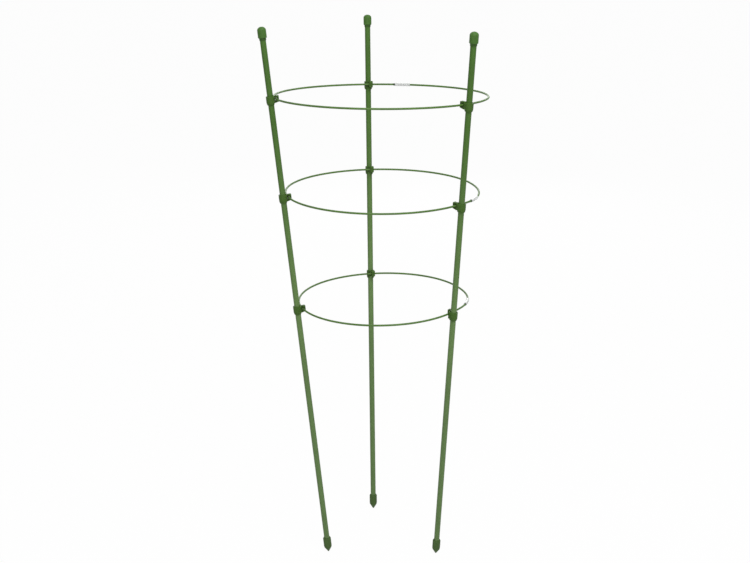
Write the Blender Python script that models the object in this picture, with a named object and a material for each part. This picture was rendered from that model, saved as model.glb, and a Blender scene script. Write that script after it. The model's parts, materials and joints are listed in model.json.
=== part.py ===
"""Ring plant support: three capped stakes, three wire rings and the nine clips that join them.

Units are metres and +Z is up. Azimuths are in degrees, counted from +X towards +Y, and the
front of the support is at -Y. The stakes lean outwards, so each ring is smaller than the one above.
"""
import math

import bmesh
import bpy
from mathutils import Matrix, Vector

MM = 0.001
UP = Vector((0.0, 0.0, 1.0))

# Clearances
SEAT = 0.3 * MM           # between pieces that touch on the real support
TUBE_BOND = 0.15 * MM     # between a stake's steel tube and its coating
WIRE_BOND = 0.2 * MM      # between a ring's core and its coating
NOTCH_PLAY = 0.45 * MM    # between a ring's wire and the sides of a clip's notch
SLEEVE_PLAY = 0.35 * MM   # between a ring's core and the sleeve round its ends
CORE_GAP = 1.0 * MM       # between the two ends of a ring's core, inside its sleeve

# Stakes
STAKE_LENGTH = 775.0 * MM   # from the point of the tip to the top of the cap
STAKE_DIAMETER = 8.0 * MM
STAKE_COAT = 0.5 * MM
STAKE_TUBE_WALL = 0.4 * MM
ROUND_SIDES = 24            # facets round a stake, a cap, a tip and a clip's collar
FOOT_RADIUS = 91.6 * MM     # from the middle of the support to each tip
STAKES = {                  # azimuth of the foot, azimuth that the stake leans to, and degrees of lean
    "left": (207.4, 181.0, 5.85),
    "right": (330.2, 294.9, 5.56),
    "rear": (99.6, 98.7, 4.95),
}

# Caps and tips
END_WALL = 1.5 * MM         # of a cap and of a tip, round the stake
CAP_SKIRT = 17.5 * MM       # height of the cap
CAP_NECK = 2.4 * MM         # height of the slim neck at its mouth
CAP_TAPER = 1.0 * MM        # height of the narrowing above the neck
CAP_LIP = 0.25 * MM         # wall of the neck
CAP_CROWN = 4.2 * MM        # height of the domed top
CAP_ROOF = 4.2 * MM         # thickness over the end of the stake
CROWN_STEPS = 4
TIP_LENGTH = 23.5 * MM
TIP_CONE = 10.0 * MM
TIP_BLUNT = 0.8 * MM        # radius of the flat at the very point
TIP_SHOULDER = 0.4 * MM     # how much slimmer the cone is at its shoulder than the collar
TIP_SHOULDER_DROP = 2.4 * MM
TIP_RIM = 1.5 * MM          # height of the chamfer round the mouth
TIP_LIP = 0.6 * MM

# Rings
WIRE_DIAMETER = 2.7 * MM
WIRE_COAT = 0.4 * MM
WIRE_SIDES = 8
CORE_SIDES = 6
RING_STEPS = 46
RING_DROPS = {"top": 93.8 * MM, "middle": 228.0 * MM, "bottom": 386.3 * MM}   # down a stake from its top
CLIP_SHIFTS = {                  # how much further down its stake each clip was pushed
    "top": {"left": 0.7 * MM, "right": -0.7 * MM, "rear": 6.7 * MM},
    "middle": {"left": 0.2 * MM, "right": -0.1 * MM, "rear": -1.3 * MM},
    "bottom": {"left": 2.3 * MM, "right": -2.3 * MM, "rear": 0.5 * MM},
}
SLEEVE_AZIMUTHS = {"top": 77.6, "middle": 337.1, "bottom": 348.0}
WIRE_BOW = {"top": 0.0, "middle": 3.1 * MM, "bottom": 3.8 * MM}   # how far the wire bows out at its sleeve
BOW_REACH = 40.0                 # degrees of wire, on from the middle of the sleeve, that bow
BEAD_SIDES = {"top": 1, "middle": -1, "bottom": -1}   # the coating's beaded end: 1 is anticlockwise
BEAD_RISE = 0.4 * MM             # of the bead over the rest of the coating
BEAD_LENGTH = 2.6 * MM
BEAD_SLOPE = 0.6 * MM
SLEEVE_LENGTH = 22.0 * MM
SLEEVE_WALL = 1.1 * MM
SLEEVE_SIDES = 12
SLEEVE_STEPS = 5

# Clips
CLIP_WALL = 1.5 * MM        # of the collar that grips the stake
CLIP_WEB = 0.65 * MM        # from the collar's bore to the notch
CLIP_SKEW_SHARE = 0.35      # of the skew between stake and wire, taken up by the clip on its stake
CLIP_ABOVE = 4.1 * MM       # collar above the middle of the wire
CLIP_BELOW = 7.6 * MM       # collar below it
CLIP_RIM = 0.6 * MM         # chamfer round the collar's upper edge
CLIP_TAPER = 3.0 * MM       # height of the narrowing at the collar's lower end
CLIP_LIP = 0.6 * MM         # wall left at that end
ARM_INSET = 0.2 * MM        # from the side of the collar to an arm's outer face
ARM_THICKNESS = 2.6 * MM
ARM_DEPTH = 5.0 * MM        # of an arm below the middle of the wire, where it is deepest
ARM_HEEL = 0.8 * MM         # from the collar's face in to that place
POST_THICKNESS = 2.4 * MM   # of an arm's inner post, between the stake and the wire
POST_ABOVE = 4.8 * MM
POST_CORNER = 0.3 * MM
PRONG_THICKNESS = 2.4 * MM
PRONG_ABOVE = 4.6 * MM
PRONG_BELOW = 3.6 * MM
PRONG_CORNER = 0.6 * MM
NIB = 1.3 * MM              # how far the prong's nib reaches over the wire
NIB_LAND = 0.6 * MM         # height of the nib's face
NOTCH_STEPS = 6
NOTCH_TURN = 45.0           # degrees that the notch's round floor goes on under the nib

# Radii, widths and heights that follow from the sizes
STAKE_RADIUS = STAKE_DIAMETER / 2
SOCKET_RADIUS = STAKE_RADIUS + SEAT
END_RADIUS = SOCKET_RADIUS + END_WALL
COLLAR_RADIUS = SOCKET_RADIUS + CLIP_WALL
WIRE_RADIUS = WIRE_DIAMETER / 2
COAT_BORE_RADIUS = WIRE_RADIUS - WIRE_COAT
CORE_RADIUS = COAT_BORE_RADIUS - WIRE_BOND
SLEEVE_BORE_RADIUS = CORE_RADIUS + SLEEVE_PLAY
NOTCH_RADIUS = WIRE_RADIUS + NOTCH_PLAY
WIRE_REACH = SOCKET_RADIUS + CLIP_WEB + NOTCH_RADIUS   # from a stake's axis to the wire's
ARM_HALF_WIDTH = COLLAR_RADIUS - ARM_INSET             # from the middle of the clip, along the wire
CAP_MOUTH = STAKE_LENGTH - CAP_SKIRT
STAKE_TOP = STAKE_LENGTH - CAP_ROOF - SEAT
STAKE_BOTTOM = TIP_CONE + SEAT
AXIS_MARK = 20.0 * MM       # drawn size of an empty

# Colours, linear, each with its roughness and metallic value
FINISHES = {
    "coated_green": ((0.089, 0.205, 0.053), 0.45, 0.0),
    "moulded_green": ((0.058, 0.127, 0.024), 0.5, 0.0),
    "tip_green": ((0.050, 0.100, 0.028), 0.5, 0.0),
    "wire_green": ((0.075, 0.160, 0.050), 0.45, 0.0),
    "steel": ((0.52, 0.53, 0.54), 0.35, 1.0),
    "clear_sleeve": ((0.80, 0.82, 0.80), 0.25, 0.0),
}


def clear_scene():
    for old in list(bpy.data.objects):
        bpy.data.objects.remove(old, do_unlink=True)


def heading(azimuth):
    angle = math.radians(azimuth)
    return Vector((math.cos(angle), math.sin(angle), 0.0))


def frame_at(origin, z_axis, x_hint):
    """A frame at a point, with a given Z and its X as near as can be to a hint."""
    z = z_axis.normalized()
    x = (x_hint - z * x_hint.dot(z)).normalized()
    return Matrix.Translation(origin) @ Matrix((x, z.cross(x), z)).transposed().to_4x4()


def spaced(start, end, steps):
    return [start + (end - start) * i / steps for i in range(steps + 1)]


# Materials, axes and objects

def finish(name):
    """The material of one finish, made once."""
    material = bpy.data.materials.get(name)
    if material is None:
        colour, roughness, metallic = FINISHES[name]
        material = bpy.data.materials.new(name)
        material.use_nodes = True
        shader = material.node_tree.nodes["Principled BSDF"]
        shader.inputs["Base Color"].default_value = (*colour, 1.0)
        shader.inputs["Roughness"].default_value = roughness
        shader.inputs["Metallic"].default_value = metallic
        material.diffuse_color = (*colour, 1.0)
    return material


def dress(mesh, name, finish_name):
    """Name a mesh, give it its finish and shade its round faces smooth."""
    mesh.name = name
    mesh.materials.clear()
    mesh.materials.append(finish(finish_name))
    mesh.shade_smooth()
    mesh.set_sharp_from_angle(angle=math.radians(32))
    return mesh


def place(name, mesh, parent):
    piece = bpy.data.objects.new(name, mesh)
    bpy.context.scene.collection.objects.link(piece)
    piece.parent = parent


def add_axis(name, matrix, parent=None):
    """An empty that carries pieces. Where they move, its +Z is their joint's axis."""
    axis = bpy.data.objects.new(name, None)
    axis.empty_display_size = AXIS_MARK
    bpy.context.scene.collection.objects.link(axis)
    axis.parent = parent
    axis.matrix_local = matrix
    return axis


# Modelling tools

def mesh_from(bm):
    bmesh.ops.recalc_face_normals(bm, faces=bm.faces)
    mesh = bpy.data.meshes.new("piece")
    bm.to_mesh(mesh)
    bm.free()
    return mesh


def revolve(outline):
    """Turn a closed (radius, height) outline about Z, starting half a facet from the X axis."""
    bm = bmesh.new()
    start = Matrix.Rotation(math.pi / ROUND_SIDES, 3, "Z")
    corners = [bm.verts.new(start @ Vector((radius, 0.0, height))) for radius, height in outline]
    edges = [bm.edges.new((corners[i - 1], corners[i])) for i in range(len(corners))]
    bmesh.ops.spin(bm, geom=corners + edges, axis=UP, angle=math.tau, steps=ROUND_SIDES, use_merge=True)
    bmesh.ops.remove_doubles(bm, verts=bm.verts, dist=0.001 * MM)
    on_axis = [edge for edge in bm.edges if not edge.link_faces]
    bmesh.ops.delete(bm, geom=on_axis, context="EDGES")
    return mesh_from(bm)


def extrude_outline(outline, half_width):
    """Extrude a closed (x, z) outline both ways along Y."""
    bm = bmesh.new()
    face = bm.faces.new([bm.verts.new((x, -half_width, z)) for x, z in outline])
    side = bmesh.ops.extrude_face_region(bm, geom=[face])
    far = [item for item in side["geom"] if isinstance(item, bmesh.types.BMVert)]
    bmesh.ops.translate(bm, verts=far, vec=(0.0, 2 * half_width, 0.0))
    return mesh_from(bm)


def sweep(sections, sides, bore=0.0):
    """Bridge round sections, each a frame and a radius, into a wire or, with a bore, a tube."""
    bm = bmesh.new()

    def skin(radii):
        circles = []
        for (section, _), radius in zip(sections, radii):
            circle = bmesh.ops.create_circle(bm, segments=sides, radius=radius, matrix=section)
            circles.append(circle["verts"])
        rims = [list({edge for vertex in verts for edge in vertex.link_edges}) for verts in circles]
        for near, far in zip(rims, rims[1:]):
            bmesh.ops.bridge_loops(bm, edges=near + far)
        return circles[0], circles[-1]

    ends = skin([radius for _, radius in sections])
    if bore:
        for rim, inner_rim in zip(ends, skin([bore] * len(sections))):
            for i in range(sides):
                bm.faces.new((rim[i - 1], rim[i], inner_rim[i], inner_rim[i - 1]))
    else:
        for rim in ends:
            bm.faces.new(rim)
    return mesh_from(bm)


def combine(mesh, tool, operation):
    """Join a tool mesh to a mesh, or cut it out, with an exact Boolean."""
    body = bpy.data.objects.new("body", mesh)
    cutter = bpy.data.objects.new("cutter", tool)
    for item in (body, cutter):
        bpy.context.scene.collection.objects.link(item)
    boolean = body.modifiers.new("combine", "BOOLEAN")
    boolean.object = cutter
    boolean.operation = operation
    boolean.solver = "EXACT"
    bpy.context.view_layer.update()
    bm = bmesh.new()
    bm.from_object(body, bpy.context.evaluated_depsgraph_get())
    for item in (body, cutter):
        bpy.data.objects.remove(item, do_unlink=True)
    bmesh.ops.remove_doubles(bm, verts=bm.verts, dist=0.002 * MM)
    return mesh_from(bm)


# Where the stakes, the rings and the clips are

def stake_line(side):
    """The foot of a stake and the direction of its axis."""
    foot_azimuth, lean_azimuth, lean = STAKES[side]
    angle = math.radians(lean)
    foot = FOOT_RADIUS * heading(foot_azimuth)
    return foot, math.sin(angle) * heading(lean_azimuth) + math.cos(angle) * UP


def clip_distance(ring, side):
    """How far up its stake a clip sits, from the point of the tip to the middle of the wire."""
    return STAKE_LENGTH - RING_DROPS[ring] - CLIP_SHIFTS[ring][side]


def circle_through(a, b, c):
    """Centre, radius and upward normal of the circle through three points."""
    ab = b - a
    ac = c - a
    normal = ab.cross(ac)
    to_centre = ac.length_squared * normal.cross(ab) + ab.length_squared * ac.cross(normal)
    to_centre /= 2 * normal.length_squared
    if normal.z < 0:
        normal.negate()
    return a + to_centre, to_centre.length, normal.normalized()


def clip_frame(on_stake, direction, centre, normal):
    """The frame of a clip: X points to the wire, and Z leans from the stake's axis a little
    towards square with the wire, because the wire crosses the stake at a slight skew."""
    along_wire = normal.cross(on_stake - centre).normalized()
    inward = along_wire.cross(direction).normalized()
    square = inward.cross(along_wire)
    if inward.dot(centre - on_stake) < 0:
        inward.negate()
    if square.z < 0:
        square.negate()
    return frame_at(on_stake, direction.lerp(square, CLIP_SKEW_SHARE), inward)


def seat_ring(ring):
    """Find the circle that runs through the notches of a ring's three clips.

    A clip faces its ring's middle, and that middle depends on the clips, so the two are settled
    together in a few rounds.
    """
    on_stakes = {}
    for side in STAKES:
        foot, direction = stake_line(side)
        on_stakes[side] = (foot + direction * clip_distance(ring, side), direction)
    centre, radius, normal = circle_through(*[point for point, _ in on_stakes.values()])
    for _ in range(6):
        clips = {side: clip_frame(*where, centre, normal) for side, where in on_stakes.items()}
        notches = [clip @ Vector((WIRE_REACH, 0.0, 0.0)) for clip in clips.values()]
        centre, radius, normal = circle_through(*notches)
    return frame_at(centre, normal, heading(0)), radius, clips


def turn_to_clip(ring_frame, start, clip):
    """Degrees to turn anticlockwise about a ring's middle, from an azimuth to a clip."""
    spot = ring_frame.inverted() @ clip.to_translation()
    return (math.degrees(math.atan2(spot.y, spot.x)) - start) % 360


# Stakes, caps and tips

def tube_outline(outer, wall):
    inner = outer - wall
    return [(inner, STAKE_BOTTOM), (outer, STAKE_BOTTOM), (outer, STAKE_TOP), (inner, STAKE_TOP)]


def cap_outline():
    """A straight skirt over a slim neck, with a rounded crown."""
    roof = STAKE_TOP + SEAT
    neck = SOCKET_RADIUS + CAP_LIP
    inside = [(0.0, roof), (SOCKET_RADIUS, roof), (SOCKET_RADIUS, CAP_MOUTH)]
    outside = [(neck, CAP_MOUTH), (neck, CAP_MOUTH + CAP_NECK), (END_RADIUS, CAP_MOUTH + CAP_NECK + CAP_TAPER)]
    crown = []
    for angle in spaced(0, math.pi / 2, CROWN_STEPS)[:-1]:
        radius = END_RADIUS * math.cos(angle) ** 0.9
        crown.append((radius, STAKE_LENGTH + CAP_CROWN * (math.sin(angle) ** 1.2 - 1)))
    return inside + outside + crown + [(0.0, STAKE_LENGTH)]


def tip_outline():
    """A blunt cone under a collar whose mouth is chamfered."""
    cone = [(0.0, 0.0), (TIP_BLUNT, 0.0), (END_RADIUS - TIP_SHOULDER, TIP_CONE - TIP_SHOULDER_DROP)]
    collar = [(END_RADIUS, TIP_CONE), (END_RADIUS, TIP_LENGTH - TIP_RIM)]
    mouth = [(SOCKET_RADIUS + TIP_LIP, TIP_LENGTH), (SOCKET_RADIUS, TIP_LENGTH)]
    socket = [(SOCKET_RADIUS, STAKE_BOTTOM - SEAT), (0.0, STAKE_BOTTOM - SEAT)]
    return cone + collar + mouth + socket


def stake_pieces():
    """The meshes of one stake, which the three stakes share."""
    tube_radius = STAKE_RADIUS - STAKE_COAT - TUBE_BOND
    return {
        "stake_tube": dress(revolve(tube_outline(tube_radius, STAKE_TUBE_WALL)), "stake_tube", "steel"),
        "stake_coating": dress(revolve(tube_outline(STAKE_RADIUS, STAKE_COAT)), "stake_coating", "coated_green"),
        "stake_cap": dress(revolve(cap_outline()), "stake_cap", "moulded_green"),
        "stake_tip": dress(revolve(tip_outline()), "stake_tip", "tip_green"),
    }


# Rings

def wire_course(ring, radius, bow_back):
    """A function that gives the frame of the wire's section at an azimuth of its ring.

    The wire follows the ring's circle, and bows out where the stiff sleeve joins its ends.
    """
    def middle(azimuth):
        apart = (azimuth - SLEEVE_AZIMUTHS[ring] + 180) % 360 - 180
        reach = BOW_REACH if apart > 0 else bow_back
        bow = math.cos(math.radians(90) * min(abs(apart) / reach, 1.0)) ** 2
        return (radius + WIRE_BOW[ring] * bow) * heading(azimuth)

    def section(azimuth):
        along = middle(azimuth + 0.5) - middle(azimuth - 0.5)
        return frame_at(middle(azimuth), along, heading(azimuth))

    return section


def build_ring(ring, frame, radius, clips, support):
    """The steel core, its coating and the sleeve that joins the two ends of the wire."""
    axis = add_axis(f"{ring}_ring_axis", frame, support)
    sleeve_at = SLEEVE_AZIMUTHS[ring]
    chord_loss = radius * (1 - math.cos(math.pi / RING_STEPS))
    section = wire_course(ring, radius + chord_loss / 2, 360 - turn_to_clip(frame, sleeve_at, clips["right"]))
    per_metre = math.degrees(1 / radius)

    def sections(course):
        return [(section(sleeve_at + BEAD_SIDES[ring] * angle), size) for angle, size in course]

    coat_end = (SLEEVE_LENGTH / 2 + SEAT) * per_metre
    bead_flat = coat_end + (BEAD_LENGTH - BEAD_SLOPE) * per_metre
    bead_foot = coat_end + BEAD_LENGTH * per_metre
    coating = [(angle, WIRE_RADIUS + BEAD_RISE) for angle in (coat_end, bead_flat)]
    coating += [(angle, WIRE_RADIUS) for angle in [bead_foot] + spaced(coat_end, 360 - coat_end, RING_STEPS)[1:]]

    bare = spaced(CORE_GAP / 2 * per_metre, coat_end, 2)[:-1]
    course = bare + [angle for angle, _ in coating] + [360 - angle for angle in reversed(bare)]
    core = [(angle, CORE_RADIUS) for angle in course]

    half_sleeve = SLEEVE_LENGTH / 2 * per_metre
    sleeve_radius = SLEEVE_BORE_RADIUS + SLEEVE_WALL
    sleeve = [(angle, sleeve_radius) for angle in spaced(-half_sleeve, half_sleeve, SLEEVE_STEPS)]
    meshes = {
        "core": (sweep(sections(core), CORE_SIDES), "steel"),
        "coating": (sweep(sections(coating), WIRE_SIDES, COAT_BORE_RADIUS), "wire_green"),
        "sleeve": (sweep(sections(sleeve), SLEEVE_SIDES, SLEEVE_BORE_RADIUS), "clear_sleeve"),
    }
    for piece, (mesh, finish_name) in meshes.items():
        name = f"{ring}_ring_{piece}"
        place(name, dress(mesh, name, finish_name), axis)


# Clips

def collar_outline():
    """The collar before it is bored, solid enough to hold the roots of the arms."""
    inner = SOCKET_RADIUS / 2
    tail = [(SOCKET_RADIUS + CLIP_LIP, -CLIP_BELOW), (COLLAR_RADIUS, CLIP_TAPER - CLIP_BELOW)]
    rim = [(COLLAR_RADIUS, CLIP_ABOVE - CLIP_RIM), (COLLAR_RADIUS - CLIP_RIM, CLIP_ABOVE)]
    return [(inner, -CLIP_BELOW)] + tail + rim + [(inner, CLIP_ABOVE)]


def arm_outline():
    """Side view of an arm: a post by the stake, the notch that holds the wire, and a prong with a nib."""
    near = WIRE_REACH - NOTCH_RADIUS
    far = WIRE_REACH + NOTCH_RADIUS
    back = far + PRONG_THICKNESS
    stake_side = near - POST_THICKNESS
    post = [(stake_side, CLIP_ABOVE), (stake_side, POST_ABOVE)]
    post += [(near - POST_CORNER, POST_ABOVE), (near, POST_ABOVE - POST_CORNER)]
    under_nib = math.radians(NOTCH_TURN)
    angles = spaced(math.pi, math.tau + under_nib, NOTCH_STEPS)
    notch = [(WIRE_REACH + NOTCH_RADIUS * math.cos(a), NOTCH_RADIUS * math.sin(a)) for a in angles]
    slope = NIB - NOTCH_RADIUS * (1 - math.cos(under_nib))
    nib_height = NOTCH_RADIUS * math.sin(under_nib) + slope / math.tan(under_nib)
    nib = [(far - NIB, nib_height), (far - NIB, nib_height + NIB_LAND)]
    top = [(far, PRONG_ABOVE), (back - PRONG_CORNER, PRONG_ABOVE), (back, PRONG_ABOVE - PRONG_CORNER)]
    heel = (COLLAR_RADIUS - ARM_HEEL, -ARM_DEPTH)
    foot = [(back, PRONG_CORNER - PRONG_BELOW), (back - PRONG_CORNER, -PRONG_BELOW), heel]
    root = [(0.0, CLIP_TAPER - CLIP_BELOW), (0.0, CLIP_ABOVE)]
    return root + post + notch + nib + top + foot


def clip_mesh():
    """A horseshoe collar that grips the stake, with two arms that hook over the wire."""
    body = combine(revolve(collar_outline()), extrude_outline(arm_outline(), ARM_HALF_WIDTH), "UNION")
    reach = CLIP_BELOW + PRONG_ABOVE
    bore = revolve([(0.0, -reach), (SOCKET_RADIUS, -reach), (SOCKET_RADIUS, reach), (0.0, reach)])
    body = combine(body, bore, "DIFFERENCE")
    mouth = 2 * WIRE_REACH
    channel = [(0.0, -reach), (mouth, -reach), (mouth, reach), (0.0, reach)]
    body = combine(body, extrude_outline(channel, ARM_HALF_WIDTH - ARM_THICKNESS), "DIFFERENCE")
    return dress(body, "clip", "moulded_green")


# The whole support

def centre_on_floor(support):
    """Move the support so that the middle of its box's base is the world's origin."""
    bpy.context.view_layer.update()
    pieces = [piece for piece in bpy.data.objects if piece.type == "MESH"]
    corners = [piece.matrix_world @ vertex.co for piece in pieces for vertex in piece.data.vertices]
    low = Vector([min(corner[i] for corner in corners) for i in range(3)])
    high = Vector([max(corner[i] for corner in corners) for i in range(3)])
    support.location = (-(low.x + high.x) / 2, -(low.y + high.y) / 2, -low.z)
    bpy.context.view_layer.update()
    print("size", [round(value, 4) for value in high - low])


def print_joint(axis_name, low, high, unit):
    matrix = bpy.data.objects[axis_name].matrix_world
    origin = [round(value, 5) for value in matrix.to_translation()]
    direction = [round(value, 5) for value in matrix.to_3x3() @ UP]
    print(axis_name, "at", origin, "along", direction, "from", round(low, 4), "to", round(high, 4), unit)


def print_stake_travel(side):
    """A stake slides up until its tip meets the bottom clip, and down until its cap meets the top one."""
    top_clip = clip_distance("top", side) + max(CLIP_ABOVE, POST_ABOVE)
    bottom_clip = clip_distance("bottom", side) - CLIP_BELOW
    print_joint(f"{side}_stake_axis", top_clip + SEAT - CAP_MOUTH, bottom_clip - SEAT - TIP_LENGTH, "m")


def print_ring_travel(ring, frame, radius, clips):
    """A ring turns in its notches until its sleeve, its bead or its bow meets a clip."""
    per_metre = math.degrees(1 / radius)
    behind = 360 - turn_to_clip(frame, SLEEVE_AZIMUTHS[ring], clips["right"])
    ahead = turn_to_clip(frame, SLEEVE_AZIMUTHS[ring], clips["rear"])
    arm = ARM_HALF_WIDTH * per_metre
    plain = SLEEVE_LENGTH / 2 * per_metre
    beaded = plain + (SEAT + BEAD_LENGTH) * per_metre
    stops = (plain, beaded) if BEAD_SIDES[ring] > 0 else (beaded, plain)
    bowed = 0.0
    if WIRE_BOW[ring] > NOTCH_PLAY / 2:
        bowed = math.acos(math.sqrt(NOTCH_PLAY / 2 / WIRE_BOW[ring])) / math.radians(90)
    back = behind - arm - max(stops[0], behind * bowed)
    forth = ahead - arm - max(stops[1], BOW_REACH * bowed)
    print_joint(f"{ring}_ring_axis", -back, forth, "degrees")


def main():
    clear_scene()
    support = add_axis("support", Matrix.Identity(4))
    pieces = stake_pieces()
    for side in STAKES:
        foot, direction = stake_line(side)
        axis = add_axis(f"{side}_stake_axis", frame_at(foot, direction, -foot), support)
        for piece, mesh in pieces.items():
            place(f"{side}_{piece}", mesh, axis)

    clip = clip_mesh()
    rings = {ring: seat_ring(ring) for ring in RING_DROPS}
    for ring, (frame, radius, clips) in rings.items():
        build_ring(ring, frame, radius, clips, support)
        for side, seat in clips.items():
            place(f"{ring}_ring_{side}_clip", clip, add_axis(f"{ring}_ring_{side}_seat", seat, support))

    centre_on_floor(support)
    for side in STAKES:
        print_stake_travel(side)
    for ring, seated in rings.items():
        print_ring_travel(ring, *seated)


main()
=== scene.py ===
"""Dress the ring plant support: coated stakes with caps and tips, wire rings, clear sleeves and clips.

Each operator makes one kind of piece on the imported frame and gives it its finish. Units are metres
and +Z is up. Azimuths are in degrees, counted from +X towards +Y.
"""
import json
import math

import bmesh
import bpy
from bpy.props import FloatProperty, FloatVectorProperty, IntProperty, PointerProperty
from mathutils import Matrix, Vector


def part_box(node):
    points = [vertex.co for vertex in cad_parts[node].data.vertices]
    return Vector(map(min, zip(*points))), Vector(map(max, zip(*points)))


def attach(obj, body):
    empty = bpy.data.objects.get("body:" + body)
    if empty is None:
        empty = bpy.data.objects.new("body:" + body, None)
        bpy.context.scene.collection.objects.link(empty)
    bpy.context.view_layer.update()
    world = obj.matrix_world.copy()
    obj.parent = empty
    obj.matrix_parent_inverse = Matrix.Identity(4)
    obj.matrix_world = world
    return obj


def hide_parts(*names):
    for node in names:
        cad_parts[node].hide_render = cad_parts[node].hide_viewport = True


bl_info = {
    "name": "Ring Plant Support",
    "version": (1, 0, 0),
    "blender": (4, 5, 0),
    "location": "3D View > Sidebar > Plant Support",
    "description": "Makes the coated stakes, wire rings, sleeves and clips of a ring plant support",
    "category": "Object",
}

MM = 0.001
UP = Vector((0.0, 0.0, 1.0))
ACROSS = Vector((1.0, 0.0, 0.0))
WHITE = (1.0, 1.0, 1.0, 1.0)
SIDES = ("left", "right", "rear")
RINGS = ("top", "middle", "bottom")

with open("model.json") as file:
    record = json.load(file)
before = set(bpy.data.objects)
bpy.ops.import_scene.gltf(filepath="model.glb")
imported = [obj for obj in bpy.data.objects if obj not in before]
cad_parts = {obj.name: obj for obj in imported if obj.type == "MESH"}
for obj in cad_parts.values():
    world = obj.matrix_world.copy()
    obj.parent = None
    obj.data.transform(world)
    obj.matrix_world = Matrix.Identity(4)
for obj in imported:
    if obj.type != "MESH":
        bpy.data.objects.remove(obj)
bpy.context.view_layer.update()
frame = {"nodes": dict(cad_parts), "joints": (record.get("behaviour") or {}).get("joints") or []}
JOINTS = {joint["name"]: joint for joint in frame["joints"]}

# Each ring's wire: its radius, the azimuth of its sleeve, how far it bows out there, and which way
# its bead lies. Towards larger azimuths the bow eases out over BOW_REACH degrees, and the other way
# it ends at the right stake.
RING_RADIUS = {"top": 145.11 * MM, "middle": 133.17 * MM, "bottom": 118.93 * MM}
SLEEVE_AZIMUTH = {"top": 77.6, "middle": 337.1, "bottom": 348.0}
WIRE_BOW = {"top": 0.0, "middle": 3.1 * MM, "bottom": 3.8 * MM}
BEAD_SIDE = {"top": 1, "middle": -1, "bottom": -1}
BOW_REACH = 40.0

# Rounded ends of the coatings and sleeves: steps along the wire from the end, each with a loss of radius
BEAD_MOUTH = ((0.0, 0.35 * MM), (0.1 * MM, 0.12 * MM), (0.35 * MM, 0.0))
PLAIN_MOUTH = ((-0.1 * MM, 0.08 * MM), (0.0, 0.25 * MM))
SLEEVE_MOUTH = ((0.0, 0.3 * MM), (0.08 * MM, 0.12 * MM))

# The slope behind the bead: steps along the wire from its end, each with the share of the bead left
BEAD_SLOPE = ((-1.0 * MM, 1.0), (-0.6 * MM, 0.7), (-0.2 * MM, 0.175), (0.2 * MM, 0.0))

# How far past the bead, and past a rounded end, the plain stretch begins
PAST_BEAD = 1.0 * MM
PAST_END = 0.3 * MM

# Powers of the crown of a cap, in radius and in height: with 1 for both it would be an ellipse
CROWN_POWERS = (0.9, 1.2)

# Which way along the wire the hook of each clip stands: 1 is clockwise, seen from above
HOOK_SIDE = {
    ("top", "left"): -1, ("top", "right"): 1, ("top", "rear"): 1,
    ("middle", "left"): -1, ("middle", "right"): 1, ("middle", "rear"): 1,
    ("bottom", "left"): -1, ("bottom", "right"): -1, ("bottom", "rear"): 1,
}

# How far the blocks of a clip reach into each other, and the slit left where its notch is closed
OVERLAP = 0.1 * MM
SLIT = 0.05 * MM

# Where the arc of the notch ends, past the far side of the wire, how many notch radii above the middle
# of the wire the nib starts, and how much of the nib's upper corner is cut off, across and in height
NOTCH_END = math.radians(400)
NIB_RISE = 1.15
NIB_CORNER = (0.5 * MM, 0.8 * MM)

# The painted shade round the wire, standing for the shadow in the hook's pocket: darkest within this many
# notch radii of its middle, gone from this many prong heights on, and uneven by this much
DARK_WITHIN = 1.3
PLAIN_BEYOND = 1.15
UNEVEN = 0.4 * MM

# Rounds that find a clip's height on its stake, and degrees either way that give the wire's direction
SEAT_ROUNDS = 6
NEARBY = 0.5

# Edges with a sharper turn than this stay sharp
SHARP = math.radians(35)

# The floor's radius, how far it lies below the tips, and how much of its white comes from its own glow
FLOOR_RADIUS = 30.0
FLOOR_DROP = 0.02 * MM
FLOOR_GLOW = 0.97

# Where each lamp hangs and how wide it is, and the spot that they all point at
LAMPS = {
    "key": ((0.4, -1.1, 2.4), 1.0),
    "fill": ((0.0, -2.4, 0.9), 1.4),
    "back": ((0.2, 2.4, 1.1), 1.4),
}
LIT_SPOT = Vector((0.0, 0.0, 0.4))

# The camera's place, and its yaw, pitch and roll in degrees
CAMERA_PLACE = Vector((0.011812, -1.542065, 0.894511))
CAMERA_TURNS = (0.464, 72.540, 0.079)


# Settings

def length(name, description, millimetres):
    """A size, given in millimetres."""
    return FloatProperty(
        name=name, description=description, default=millimetres * MM, min=0.0, unit="LENGTH", precision=5
    )


def colour(name, description, *parts):
    """A colour, given as its parts of red, green and blue."""
    return FloatVectorProperty(
        name=name, description=description, default=parts, size=3, min=0.0, max=1.0, subtype="COLOR"
    )


def share(name, description, amount):
    """An amount from 0 to 1."""
    return FloatProperty(
        name=name, description=description, default=amount, min=0.0, max=1.0, subtype="FACTOR"
    )


def power(name, description, watts):
    """The power of a lamp."""
    return FloatProperty(name=name, description=description, default=watts, unit="POWER")


class StakeSettings(bpy.types.PropertyGroup):
    """Sizes and colours of the three coated stakes"""

    length: length("Length", "From the point of the tip to the top of the cap", 775.0)
    diameter: length("Diameter", "Across the green coating", 8.0)
    coat: length("Coating", "Thickness of the green coating", 0.5)
    # These three greens hold painted light: paler and greyer low down, where light from the white floor
    # falls, and darker near the cap
    foot_colour: colour("Foot colour", "Green of the coating near the tip", 0.098, 0.165, 0.058)
    middle_colour: colour("Middle colour", "Green of the coating half way up", 0.110, 0.188, 0.062)
    top_colour: colour("Top colour", "Green of the coating near the cap", 0.052, 0.118, 0.021)
    roughness: share("Roughness", "How matt the coating is", 0.46)


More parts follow.
